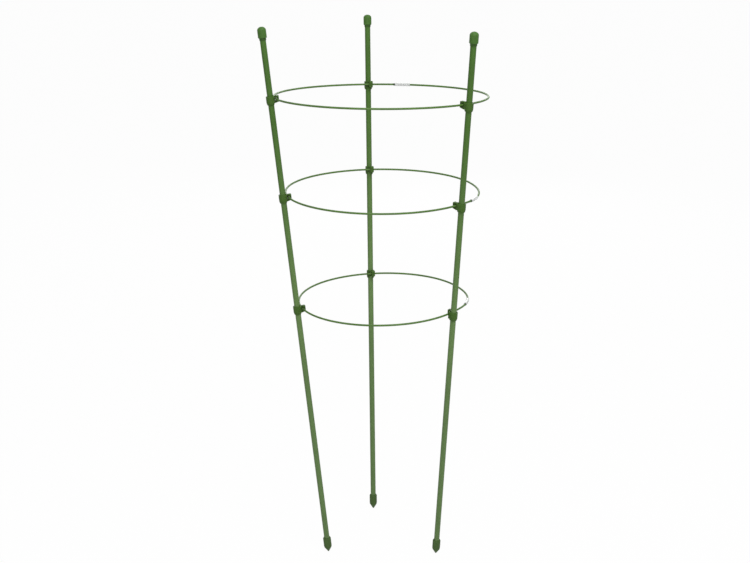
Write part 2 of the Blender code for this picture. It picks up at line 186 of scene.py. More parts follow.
class EndSettings(bpy.types.PropertyGroup):
    """Sizes and colours of the caps and tips"""

    wall: length("Wall", "Of a cap and of a tip, round the stake", 1.5)
    play: length("Play", "Between the stake and its cap or tip", 0.3)
    cap_height: length("Cap height", "From the mouth of the cap to its top", 17.5)
    cap_neck: length("Cap neck", "Height of the slim neck at the cap's mouth", 2.4)
    cap_taper: length("Cap taper", "Height of the narrowing above the neck", 1.0)
    cap_lip: length("Cap lip", "Wall of the neck", 0.25)
    neck_shade: share("Neck shade", "How much darker the plastic is painted on the neck", 0.32)
    cap_roof: length("Cap roof", "Thickness of the plastic over the end of the stake", 4.2)
    cap_crown: length("Cap crown", "Height of the domed top", 4.2)
    tip_height: length("Tip height", "From the point of the tip to its mouth", 23.5)
    tip_cone: length("Tip cone", "Height of the pointed part", 10.0)
    tip_blunt: length("Tip blunt", "Radius of the flat at the very point", 0.8)
    tip_shoulder: length("Tip shoulder", "How much slimmer the cone's shoulder is than the collar", 0.4)
    tip_shoulder_drop: length("Tip shoulder drop", "Height of the slope from shoulder to collar", 2.4)
    tip_rim: length("Tip rim", "Height of the chamfer round the mouth", 1.5)
    tip_lip: length("Tip lip", "Wall at the mouth", 0.6)
    cap_colour: colour("Cap colour", "Green of the caps", 0.048, 0.116, 0.021)
    tip_colour: colour("Tip colour", "Green of the tips", 0.048, 0.090, 0.024)


class RingSettings(bpy.types.PropertyGroup):
    """Sizes and colours of the three wire rings"""

    wire: length("Wire diameter", "Across the coated wire", 2.7)
    core: length("Core diameter", "Across the bare steel wire", 1.5)
    bond: length("Bond", "Between the steel wire and its coating", 0.2)
    bead: length("Bead diameter", "Across the thick end of the coating", 3.5)
    bead_length: length("Bead length", "Along the thick end of the coating", 2.6)
    gap: length("Gap", "Between the sleeve and the ends of the coating", 0.3)
    core_end: length("Core end", "From the middle of the sleeve to each end of the steel wire", 0.5)
    steps: IntProperty(name="Steps", description="Sections round each ring", default=300, min=60, max=720)
    wire_colour: colour("Wire colour", "Green of the wire's coating", 0.075, 0.150, 0.035)
    bead_colour: colour("Bead colour", "Green of the thick end of the coating", 0.035, 0.055, 0.030)


class SleeveSettings(bpy.types.PropertyGroup):
    """Sizes and colour of the clear sleeves that join the ends of the wires"""

    length: length("Length", "Along the sleeve", 22.0)
    diameter: length("Diameter", "Across the sleeve", 4.4)
    bore: length("Bore", "Across the hole through the sleeve", 2.2)
    colour: colour("Colour", "Tint of the sleeve", 0.68, 0.70, 0.68)
    cloud: share("Cloudiness", "How much of what lies behind the middle of the sleeve it hides", 0.36)
    rim: share("Rim", "How much of what lies behind the sides of the sleeve they hide", 0.85)


class ClipSettings(bpy.types.PropertyGroup):
    """Sizes and finish of the nine clips"""

    wall: length("Wall", "Of the collar that grips the stake", 1.5)
    play: length("Play", "Between the collar and the stake", 0.3)
    above: length("Above", "Collar above the middle of the wire", 4.1)
    below: length("Below", "Collar below the middle of the wire", 7.6)
    taper: length("Taper", "Height of the narrowing at the collar's lower end", 3.0)
    rim: length("Rim", "Wall of the collar at its lower end", 0.7)
    skew: share("Skew", "How far a clip turns from square to its stake towards square to its wire", 0.35)
    mouth: length("Mouth", "Half the width of the collar's opening", 3.0)
    reach: length("Reach", "From the axis of the stake to the middle of the wire", 6.75)
    notch: length("Notch", "Radius of the notch that holds the wire", 1.8)
    hook_start: length("Hook start", "From the middle of the clip to the near side of its hook", 0.5)
    hook_end: length("Hook end", "From the middle of the clip to the far side of its hook", 5.6)
    web: length("Web", "Of the hook's closed back, beyond the collar's opening", 0.6)
    prong: length("Prong", "Thickness of the hook's prong", 2.1)
    prong_above: length("Prong above", "Prong above the middle of the wire", 4.6)
    prong_below: length("Prong below", "Prong below the middle of the wire", 3.6)
    post_above: length("Post above", "Post above the middle of the wire", 4.8)
    depth: length("Depth", "Hook below the middle of the wire, where it is deepest", 5.0)
    nib: length("Nib", "How far the prong's nib reaches over the wire", 2.1)
    pocket_shade: share("Pocket shade", "How much darker the plastic is painted round the wire", 0.5)
    grain: length("Mesh grain", "Spacing of the mesh that softens the clip's corners", 0.25)
    rounds: IntProperty(
        name="Softening", description="Rounds of smoothing over the corners", default=3, min=0, max=12
    )
    colour: colour("Clip colour", "Green of the clips", 0.043, 0.098, 0.014)


class StageSettings(bpy.types.PropertyGroup):
    """Floor, lamps and camera"""

    floor_colour: colour("Floor colour", "Colour of the floor", 0.80, 0.80, 0.80)
    key: power("Key lamp", "Power of the lamp high over the front right", 40.0)
    fill: power("Fill lamp", "Power of the lamp at the front", 14.0)
    back: power("Back lamp", "Power of the lamp behind", 14.0)
    sky: FloatProperty(
        name="Room light", description="Strength of the even light of the room", default=0.38
    )
    focal_length: FloatProperty(name="Focal length", description="Of the camera, in mm", default=54.089)


# Shapes

def frame_at(origin, z_axis, x_hint):
    """A frame at a point, with a given Z and its X as near as can be to a hint."""
    z = z_axis.normalized()
    x = (x_hint - z * x_hint.dot(z)).normalized()
    return Matrix.Translation(origin) @ Matrix((x, z.cross(x), z)).transposed().to_4x4()


def heading(azimuth):
    """The direction of an azimuth, level and 1 long."""
    angle = math.radians(azimuth)
    return Vector((math.cos(angle), math.sin(angle), 0.0))


def all_round(sides):
    """Level directions, evenly spaced all the way round."""
    return [heading(360 * i / sides) for i in range(sides)]


def spaced(start, end, steps):
    """Evenly spaced numbers from start to end, with both ends."""
    return [start + (end - start) * i / steps for i in range(steps + 1)]


def rounded(corners, steps=4):
    """A closed outline from corners, each a radius, a height and the size of its fillet."""
    points = []
    for i, (x, y, size) in enumerate(corners):
        corner = Vector((x, y))
        if not size:
            points.append(corner)
            continue
        back = (Vector(corners[i - 1][:2]) - corner).normalized()
        ahead = (Vector(corners[(i + 1) % len(corners)][:2]) - corner).normalized()
        half = back.angle(ahead) / 2
        middle = corner + (back + ahead).normalized() * size / math.sin(half)
        start = corner + back * size / math.tan(half) - middle
        end = corner + ahead * size / math.tan(half) - middle
        turn = math.atan2(start.cross(end), start.dot(end))
        points += [middle + Matrix.Rotation(part, 2) @ start for part in spaced(0, turn, steps)]
    return points


def mesh_from(bm, name):
    """A mesh from a bmesh, smooth but for its sharp edges."""
    bmesh.ops.recalc_face_normals(bm, faces=bm.faces)
    mesh = bpy.data.meshes.new(name)
    bm.to_mesh(mesh)
    bm.free()
    mesh.shade_smooth()
    mesh.set_sharp_from_angle(angle=SHARP)
    return mesh


def join_rows(bm, near, far, finish=0):
    """Add the faces between two closed rows of points, either of which may be one point over and over."""
    for i in range(len(near)):
        corners = dict.fromkeys((near[i - 1], near[i], far[i], far[i - 1]))
        if len(corners) > 2:
            bm.faces.new(tuple(corners)).material_index = finish


def revolved(name, outline, sides=48):
    """A mesh from a closed (radius, height) outline, turned all the way round Z."""
    bm = bmesh.new()
    rows = []
    for radius, height in outline:
        if radius:
            rows.append([bm.verts.new(turn * radius + UP * height) for turn in all_round(sides)])
        else:
            rows.append([bm.verts.new(UP * height)] * sides)
    for i in range(len(rows)):
        join_rows(bm, rows[i - 1], rows[i])
    return mesh_from(bm, name)


def swept(name, sections, sides, bore=0.0, second_finish=0):
    """A wire, or a tube with a bore, through round sections, each a frame and a radius.

    The outer faces between the first sections, as many as second_finish says, get the second finish.
    """
    bm = bmesh.new()

    def skin(radii):
        return [
            [bm.verts.new(section @ (turn * radius)) for turn in all_round(sides)]
            for (section, _), radius in zip(sections, radii)
        ]

    outer = skin([radius for _, radius in sections])
    for i in range(len(outer) - 1):
        join_rows(bm, outer[i], outer[i + 1], int(i < second_finish))
    if bore:
        inner = skin([bore] * len(sections))
        for i in range(len(inner) - 1):
            join_rows(bm, inner[i], inner[i + 1])
        join_rows(bm, outer[0], inner[0], int(second_finish > 0))
        join_rows(bm, outer[-1], inner[-1])
    else:
        for rim in (outer[0], outer[-1]):
            bm.faces.new(rim)
    return mesh_from(bm, name)


def place(name, mesh, matrix, body, nodes, slot, *finishes):
    """Add a piece on its body, in the place of the frame's own node."""
    piece = bpy.data.objects.new(name, mesh)
    bpy.context.scene.collection.objects.link(piece)
    piece.matrix_world = matrix
    if not mesh.materials:
        for finish in finishes:
            mesh.materials.append(finish)
    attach(piece, body)
    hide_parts(*nodes)
    return piece


def place_on_stakes(part, ending, mesh, slot, finish):
    """Add the same piece to all three stakes."""
    for side in SIDES:
        node = f"{side}_stake_{part}"
        place(f"{node}_{ending}", mesh, stake_frame(side), f"{side}_stake", [node], slot, finish)


def place_on_ring(ring, part, ending, mesh, slot, *finishes):
    """Add a piece to one ring."""
    node = f"{ring}_ring_{part}"
    place(f"{node}_{ending}", mesh, ring_frame(ring), f"{ring}_ring", [node], slot, *finishes)


def refinish(node, finish):
    """Give one of the frame's own nodes its finish."""
    for material_slot in frame["nodes"][node].material_slots:
        material_slot.link = "OBJECT"
        material_slot.material = finish


# Where the stakes and the rings are

def stake_frame(side):
    """A frame at the point of a stake's tip, with +Z up the stake."""
    stakes = bpy.context.scene.support_stakes
    ends = bpy.context.scene.support_ends
    low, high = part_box(f"{side}_stake_coating")
    axis = Vector(JOINTS[f"{side}_stake_slide"]["axis"]).normalized()
    bottom, top = stake_ends(stakes, ends)
    middle = (Vector(low) + Vector(high)) / 2
    return frame_at(middle - axis * (bottom + top) / 2, axis, ACROSS)


def stake_ends(stakes, ends):
    """Heights of the two ends of a stake's coating, above the point of its tip."""
    return ends.tip_cone + ends.play, stakes.length - ends.cap_roof - ends.play


def ring_frame(ring):
    """A frame at the middle of a ring, with +Z square to it."""
    joint = JOINTS[f"{ring}_ring_turn"]
    return frame_at(Vector(joint["pos_m"]), Vector(joint["axis"]), ACROSS)


def azimuth_in_ring(ring, side):
    """Azimuth, about the middle of a ring, of the stake on one side."""
    to_ring = ring_frame(ring).inverted()
    stake = to_ring @ stake_frame(side)
    foot = stake.to_translation()
    axis = stake.to_3x3() @ UP
    spot = foot - axis * (foot.z / axis.z)
    return math.degrees(math.atan2(spot.y, spot.x))


def clip_frame(ring, side):
    """The frame of a clip, with +Z nearly up its stake and +X to the wire that it holds.

    The clip moves along its stake until its notch is level with the wire.
    """
    clips = bpy.context.scene.support_clips
    at_ring = ring_frame(ring)
    centre = at_ring.to_translation()
    normal = at_ring.to_3x3() @ UP
    stake = stake_frame(side)
    foot = stake.to_translation()
    direction = stake.to_3x3() @ UP
    distance = (centre - foot).dot(normal) / direction.dot(normal)
    for _ in range(SEAT_ROUNDS):
        on_stake = foot + direction * distance
        along_wire = normal.cross(on_stake - centre).normalized()
        inward = direction.cross(along_wire).normalized()
        square = along_wire.cross(inward)
        seat = frame_at(on_stake, direction.lerp(square, clips.skew), inward)
        notch = seat @ Vector((clips.reach, 0.0, 0.0))
        distance -= (notch - centre).dot(normal) / direction.dot(normal)
    return seat


def wire_section(ring):
    """A function for the frame of a ring's wire at a distance from the middle of its sleeve."""
    radius = RING_RADIUS[ring]
    bow_back = (SLEEVE_AZIMUTH[ring] - azimuth_in_ring(ring, "right")) % 360

    def middle(azimuth):
        apart = (azimuth - SLEEVE_AZIMUTH[ring] + 180) % 360 - 180
        reach = BOW_REACH if apart > 0 else bow_back
        bow = math.cos(math.radians(90) * min(abs(apart) / reach, 1.0)) ** 2
        return (radius + WIRE_BOW[ring] * bow) * heading(azimuth)

    def section(distance):
        azimuth = SLEEVE_AZIMUTH[ring] + BEAD_SIDE[ring] * math.degrees(distance / radius)
        along = (middle(azimuth + NEARBY) - middle(azimuth - NEARBY)) * BEAD_SIDE[ring]
        return frame_at(middle(azimuth), along, heading(azimuth))

    return section


# Node tools

def new_finish(name):
    """An empty node material with a plastic or metal shader at its output."""
    material = bpy.data.materials.new(name)
    material.use_nodes = True
    return material, material.node_tree, material.node_tree.nodes["Principled BSDF"]


def feed(tree, socket, value):
    """Link a socket to another one, or set it to a value."""
    if isinstance(value, bpy.types.NodeSocket):
        tree.links.new(value, socket)
    else:
        socket.default_value = value


def opaque(base):
    """A colour for a socket: another socket as it is, or three numbers with full cover."""
    return base if isinstance(base, bpy.types.NodeSocket) else (*base, 1.0)


def add_node(tree, kind, **values):
    """Add a node. A value goes to the setting or the socket that has its name."""
    node = tree.nodes.new(kind)
    for name, value in values.items():
        socket = node.inputs.get(name.replace("_", " "))
        if socket is None:
            setattr(node, name, value)
        else:
            feed(tree, socket, value)
    return node


def blend_colours(tree, amount, first, second):
    """The colour between two others, each a socket or three numbers."""
    node = tree.nodes.new("ShaderNodeMix")
    node.data_type = "RGBA"
    # A mix node has sockets for each kind of data, and these are the ones for colours
    feed(tree, node.inputs[0], amount)
    feed(tree, node.inputs[6], opaque(first))
    feed(tree, node.inputs[7], opaque(second))
    return node.outputs[2]


def spread(tree, value, low, high, to_low, to_high):
    """Map a value from one range to another."""
    node = add_node(
        tree, "ShaderNodeMapRange", Value=value, From_Min=low, From_Max=high, To_Min=to_low, To_Max=to_high
    )
    return node.outputs["Result"]


def vary(tree, pattern, low, high):
    """Let a noise pattern, which mostly lies between 0.3 and 0.7, run from low to high."""
    return spread(tree, pattern, 0.3, 0.7, low, high)


def calculate(tree, operation, first, second):
    """A sum, product or other result of two values, each a socket or a number."""
    node = tree.nodes.new("ShaderNodeMath")
    node.operation = operation
    for socket, value in zip(node.inputs, (first, second)):
        feed(tree, socket, value)
    return node.outputs[0]


def seen_directly(tree):
    """1 for what the camera sees, by itself, in a reflection or through clear plastic, and 0 for light."""
    path = tree.nodes.new("ShaderNodeLightPath")
    shiny = calculate(tree, "MAXIMUM", path.outputs["Is Glossy Ray"], path.outputs["Is Transmission Ray"])
    return calculate(tree, "MAXIMUM", path.outputs["Is Camera Ray"], shiny)


def place_on_piece(tree, stretch=(1.0, 1.0, 1.0)):
    """Coordinates that stay on the piece, stretched along its own axes."""
    spot = tree.nodes.new("ShaderNodeTexCoord").outputs["Object"]
    return add_node(tree, "ShaderNodeMapping", Vector=spot, Scale=stretch).outputs["Vector"]


def grain(tree, where, scale, detail=2.0):
    """A noise pattern, finer the larger its scale."""
    return add_node(tree, "ShaderNodeTexNoise", Vector=where, Scale=scale, Detail=detail).outputs["Fac"]


def shade(tree, base, value):
    """A colour made lighter or darker by a value near 1."""
    return add_node(tree, "ShaderNodeHueSaturation", Color=opaque(base), Value=value).outputs["Color"]


def set_surface(tree, shader, tone, rough):
    """Link a shader's colour and roughness, which vary over the surface."""
    tree.links.new(tone, shader.inputs["Base Color"])
    tree.links.new(rough, shader.inputs["Roughness"])


def mix_shaders(tree, amount, first, second, output):
    """Send a mix of two shaders to an output."""
    mix = tree.nodes.new("ShaderNodeMixShader")
    for socket, source in zip(mix.inputs, (amount, first.outputs[0], second.outputs[0])):
        tree.links.new(source, socket)
    tree.links.new(mix.outputs[0], tree.nodes[output].inputs["Surface"])


def bumps(tree, shader, height, depth, strength):
    """Raise the surface by a height pattern, depth metres at most."""
    node = add_node(tree, "ShaderNodeBump", Height=height, Distance=depth, Strength=strength)
    tree.links.new(node.outputs["Normal"], shader.inputs["Normal"])


# Finishes

def coated_green(stakes):
    """Green plastic drawn over a steel tube: soft sheen, faint lines along the stake, and painted light
    that makes the green paler and greyer from the foot to half way up than near the cap.
    """
    material, tree, shader = new_finish("stake_coating_green")
    spot = tree.nodes.new("ShaderNodeTexCoord").outputs["Object"]
    up_stake = add_node(tree, "ShaderNodeSeparateXYZ", Vector=spot).outputs["Z"]
    ramp = add_node(tree, "ShaderNodeValToRGB", Fac=spread(tree, up_stake, 0.0, stakes.length, 0.0, 1.0))
    # Painted light: paler and greyer low down, where light from the white floor falls, and darker near the
    # cap
    stops = (
        (0.02, stakes.foot_colour),
        (0.30, stakes.foot_colour),
        (0.50, stakes.middle_colour),
        (0.83, stakes.top_colour),
    )
    elements = ramp.color_ramp.elements
    for i, (position, green) in enumerate(stops):
        stop = elements[i] if i < len(elements) else elements.new(position)
        stop.position = position
        stop.color = (*green, 1.0)
    drawn_lines = grain(tree, place_on_piece(tree, (1.0, 1.0, 0.01)), 1500.0)
    clouds = grain(tree, place_on_piece(tree, (1.0, 1.0, 0.4)), 60.0, 3.0)
    peel = grain(tree, place_on_piece(tree), 900.0, 1.0)
    green = shade(tree, ramp.outputs["Color"], vary(tree, clouds, 0.93, 1.07))
    green = shade(tree, green, vary(tree, drawn_lines, 0.96, 1.04))
    rough = vary(tree, clouds, stakes.roughness - 0.05, stakes.roughness + 0.06)
    set_surface(tree, shader, green, rough)
    shader.inputs["Specular IOR Level"].default_value = 0.14
    bumps(tree, shader, calculate(tree, "ADD", drawn_lines, peel), 0.015 * MM, 0.5)
    return material


def moulded_green(name, green, edge_paling=1.6, roughness=0.5, shade_painted_by_place=None):
    """Moulded green plastic: a fine spark texture, faint flow clouds, and paler corners that are partly
    rubbed wear and partly a painted highlight.

    The function shade_painted_by_place gives painted shade: the plastic's brightness from place to place.
    """
    material, tree, shader = new_finish(name)
    where = place_on_piece(tree)
    flow = grain(tree, place_on_piece(tree, (1.0, 1.0, 0.6)), 190.0, 3.0)
    spark = grain(tree, where, 3200.0)
    edge_patches = grain(tree, where, 700.0, 3.0)
    pointed = tree.nodes.new("ShaderNodeNewGeometry").outputs["Pointiness"]
    # Paler corners: partly rubbed wear, partly a painted highlight on the edges
    corner = spread(tree, pointed, 0.505, 0.60, 0.0, 0.55)
    scuffs_and_highlight = calculate(tree, "MULTIPLY", corner, spread(tree, edge_patches, 0.35, 0.6, 0.3, 1.0))
    pale = [min(part * edge_paling, 1.0) for part in green]
    tone = blend_colours(tree, scuffs_and_highlight, green, pale)
    tone = shade(tree, tone, vary(tree, flow, 0.92, 1.08))
    if shade_painted_by_place is not None:
        tone = shade(tree, tone, shade_painted_by_place(tree))
    set_surface(tree, shader, tone, vary(tree, flow, roughness - 0.06, roughness + 0.06))
    shader.inputs["Specular IOR Level"].default_value = 0.16
    bumps(tree, shader, spark, 0.02 * MM, 0.6)
    return material


def wire_green(name, green, roughness=0.45):
    """Green plastic on wire: soft sheen, slightly uneven colour and small ripples."""
    material, tree, shader = new_finish(name)
    where = place_on_piece(tree)
    clouds = grain(tree, where, 38.0, 3.0)
    ripples = grain(tree, where, 420.0)
    tone = shade(tree, green, vary(tree, clouds, 0.88, 1.12))
    set_surface(tree, shader, tone, vary(tree, ripples, roughness - 0.05, roughness + 0.05))
    shader.inputs["Specular IOR Level"].default_value = 0.14
    bumps(tree, shader, ripples, 0.04 * MM, 0.5)
    return material


def bare_steel():
    """Drawn steel: grey, with fine lines and small dull spots."""
    material, tree, shader = new_finish("bare_steel")
    lines = grain(tree, place_on_piece(tree, (1.0, 1.0, 0.02)), 2500.0)
    spots = grain(tree, place_on_piece(tree), 260.0, 4.0)
    dulled = spread(tree, spots, 0.45, 0.75, 0.0, 0.6)
    tone = blend_colours(tree, dulled, (0.55, 0.56, 0.57), (0.36, 0.35, 0.34))
    set_surface(tree, shader, tone, vary(tree, lines, 0.28, 0.42))
    shader.inputs["Metallic"].default_value = 1.0
    bumps(tree, shader, lines, 0.01 * MM, 0.5)
    return material


def clear_plastic(sleeves):
    """Clear soft plastic that has gone a little cloudy."""
    material, tree, shader = new_finish("clear_sleeve_plastic")
    haze = grain(tree, place_on_piece(tree), 420.0, 3.0)
    dim = [part * 0.86 for part in sleeves.colour]
    tone = blend_colours(tree, spread(tree, haze, 0.35, 0.65, 0.0, 1.0), sleeves.colour, dim)
    set_surface(tree, shader, tone, vary(tree, haze, 0.12, 0.28))
    facing = add_node(tree, "ShaderNodeLayerWeight", Blend=0.35).outputs["Facing"]
    tree.links.new(spread(tree, facing, 0.0, 1.0, sleeves.cloud, sleeves.rim), shader.inputs["Alpha"])
    shader.inputs["IOR"].default_value = 1.49
    bumps(tree, shader, haze, 0.05 * MM, 0.4)
    return material


# Outlines

def coating_outline(stakes, ends):
    """The wall of a stake's coating."""
    outer = stakes.diameter / 2
    inner = outer - stakes.coat
    bottom, top = stake_ends(stakes, ends)
    sides = [(outer, height) for height in spaced(bottom, top, steps=40)]
    return [(inner, bottom)] + sides + [(inner, top)]


def cap_outline(stakes, ends):
    """A straight skirt over a slim neck, with a rounded crown."""
    socket = stakes.diameter / 2 + ends.play
    outer = socket + ends.wall
    roof = stakes.length - ends.cap_roof
    mouth = stakes.length - ends.cap_height
    neck = mouth + ends.cap_neck
    crown = []
    for angle in spaced(0, math.pi / 2, steps=12)[:-1]:
        width, rise = math.cos(angle) ** CROWN_POWERS[0], math.sin(angle) ** CROWN_POWERS[1]
        crown.append((outer * width, stakes.length + ends.cap_crown * (rise - 1), 0.0))
    corners = [
        (0.0, roof, 0.0),
        (socket, roof, 0.3 * MM),
        (socket, mouth, 0.05 * MM),
        (socket + ends.cap_lip, mouth, 0.1 * MM),
        (socket + ends.cap_lip, neck, 0.3 * MM),
        (outer, neck + ends.cap_taper, 0.5 * MM),
    ]
    return rounded(corners + crown + [(0.0, stakes.length, 0.0)])


def tip_outline(stakes, ends):
    """A blunt cone under a collar whose mouth is chamfered."""
    socket = stakes.diameter / 2 + ends.play
    outer = socket + ends.wall
    corners = [
        (0.0, 0.0, 0.0),
        (ends.tip_blunt, 0.0, 0.3 * MM),
        (outer - ends.tip_shoulder, ends.tip_cone - ends.tip_shoulder_drop, 0.8 * MM),
        (outer, ends.tip_cone, 0.4 * MM),
        (outer, ends.tip_height - ends.tip_rim, 0.6 * MM),
        (socket + ends.tip_lip, ends.tip_height, 0.2 * MM),
        (socket, ends.tip_height, 0.1 * MM),
        (socket, ends.tip_cone, 0.0),
        (0.0, ends.tip_cone, 0.0),
    ]
    return rounded(corners)


def collar_outline(stakes, clips):
    """The wall of a clip's collar, narrower at its lower end."""
    inner = stakes.diameter / 2 + clips.play
    outer = inner + clips.wall
    return [
        (inner, -clips.below),
        (inner + clips.rim, -clips.below),
        (outer, clips.taper - clips.below),
        (outer, clips.above),
        (inner, clips.above),
    ]


def hook_outline(clips, nib_width):
    """Side view of a hook: a post, the notch that holds the wire, and a prong with a nib over the wire."""
    far = clips.reach + clips.notch
    back = far + clips.prong
    notch = [
        (clips.reach + clips.notch * math.cos(angle), clips.notch * math.sin(angle))
        for angle in spaced(math.pi, NOTCH_END, steps=12)
    ]
    nib = far - nib_width
    prong = [
        (nib, clips.notch * NIB_RISE),
        (nib, clips.prong_above - NIB_CORNER[1]),
        (nib + NIB_CORNER[0], clips.prong_above),
        (back, clips.prong_above),
        (back, -clips.prong_below),
    ]
    return notch + prong + post_outline(clips)


def post_outline(clips):
    """Side view of the post between stake and wire, which a clip also has where it has no prong."""
    near = clips.reach - clips.notch
    return [(near, -clips.depth), (0.0, -clips.depth), (0.0, clips.post_above), (near, clips.post_above)]


# Operators

class MakeStakes(bpy.types.Operator):
    """Make the green coatings of the three stakes over their steel tubes"""

    bl_idname = "plant_support.make_stakes"
    bl_label = "Make Stakes"

    def execute(self, context):
        stakes = context.scene.support_stakes
        ends = context.scene.support_ends
        mesh = revolved("stake_coating", coating_outline(stakes, ends), sides=40)
        place_on_stakes("coating", "drawn", mesh, "coated_green", coated_green(stakes))
        steel = bare_steel()
        for side in SIDES:
            refinish(f"{side}_stake_tube", steel)
        return {"FINISHED"}


class MakeCaps(bpy.types.Operator):
    """Make the caps on the upper ends of the stakes"""

    bl_idname = "plant_support.make_caps"
    bl_label = "Make Caps"

    def execute(self, context):
        stakes = context.scene.support_stakes
        ends = context.scene.support_ends
        mesh = revolved("stake_cap", cap_outline(stakes, ends))
        green = moulded_green(
            "cap_green",
            ends.cap_colour,
            shade_painted_by_place=lambda tree: self.neck_shadow_paint(tree, stakes, ends),
        )
        place_on_stakes("cap", "moulded", mesh, "moulded_green", green)
        return {"FINISHED"}

    def neck_shadow_paint(self, tree, stakes, ends):
        """Painted shade under the skirt: the plastic is painted darker on the neck than on the skirt above
        it.
        """
        spot = tree.nodes.new("ShaderNodeTexCoord").outputs["Object"]
        height = add_node(tree, "ShaderNodeSeparateXYZ", Vector=spot).outputs["Z"]
        neck = stakes.length - ends.cap_height + ends.cap_neck
        return spread(tree, height, neck, neck + ends.cap_taper, 1.0 - ends.neck_shade, 1.0)


class MakeTips(bpy.types.Operator):
    """Make the pointed tips on the lower ends of the stakes"""

    bl_idname = "plant_support.make_tips"
    bl_label = "Make Tips"

    def execute(self, context):
        stakes = context.scene.support_stakes
        ends = context.scene.support_ends
        mesh = revolved("stake_tip", tip_outline(stakes, ends))
        green = moulded_green("tip_green", ends.tip_colour, edge_paling=1.5, roughness=0.55)
        place_on_stakes("tip", "moulded", mesh, "tip_green", green)
        return {"FINISHED"}


class MakeRings(bpy.types.Operator):
    """Make the coated wires of the three rings, each with its beaded end"""

    bl_idname = "plant_support.make_rings"
    bl_label = "Make Rings"

    def execute(self, context):
        rings = context.scene.support_rings
        sleeves = context.scene.support_sleeves
        green = wire_green("wire_coating_green", rings.wire_colour)
        bead_green = wire_green("wire_bead_green", rings.bead_colour)
        steel = bare_steel()
        bead = rings.bead / 2
        wire = rings.wire / 2
        start = sleeves.length / 2 + rings.gap
        slope = start + rings.bead_length
        bore = rings.core / 2 + rings.bond
        thick_end = [(start + step, bead - loss) for step, loss in BEAD_MOUTH]
        thick_end += [(slope + step, wire + (bead - wire) * left) for step, left in BEAD_SLOPE]
        for ring in RINGS:
            section = wire_section(ring)
            round_ring = math.tau * RING_RADIUS[ring]
            end = round_ring - start
            stretch = spaced(slope + PAST_BEAD, end - PAST_END, rings.steps)
            plain_end = [(end + step, wire - loss) for step, loss in PLAIN_MOUTH]
            course = thick_end + [(distance, wire) for distance in stretch] + plain_end
            sections = [(section(distance), radius) for distance, radius in course]
            dark = len(thick_end) - 2
            mesh = swept(f"{ring}_ring_wire", sections, sides=16, bore=bore, second_finish=dark)
            place_on_ring(ring, "coating", "drawn", mesh, "wire_green", green, bead_green)

            stretch = spaced(rings.core_end, round_ring - rings.core_end, rings.steps)
            core = [(section(distance), rings.core / 2) for distance in stretch]
            mesh = swept(f"{ring}_ring_core", core, sides=12)
            place_on_ring(ring, "core", "drawn", mesh, "steel", steel)
        return {"FINISHED"}


class MakeSleeves(bpy.types.Operator):
    """Make the clear sleeves that join the two ends of each ring's wire"""

    bl_idname = "plant_support.make_sleeves"
    bl_label = "Make Sleeves"

    def execute(self, context):
        sleeves = context.scene.support_sleeves
        clear = clear_plastic(sleeves)
        half = sleeves.length / 2
        outer = sleeves.diameter / 2
        mouth = [(step - half, outer - loss) for step, loss in SLEEVE_MOUTH]
        stretch = spaced(PAST_END - half, half - PAST_END, steps=32)
        far_mouth = [(-distance, radius) for distance, radius in reversed(mouth)]
        course = mouth + [(distance, outer) for distance in stretch] + far_mouth
        for ring in RINGS:
            section = wire_section(ring)
            sections = [(section(distance), radius) for distance, radius in course]
            mesh = swept(f"{ring}_ring_sleeve", sections, sides=32, bore=sleeves.bore / 2)
            place_on_ring(ring, "sleeve", "clear", mesh, "clear_sleeve", clear)
        return {"FINISHED"}


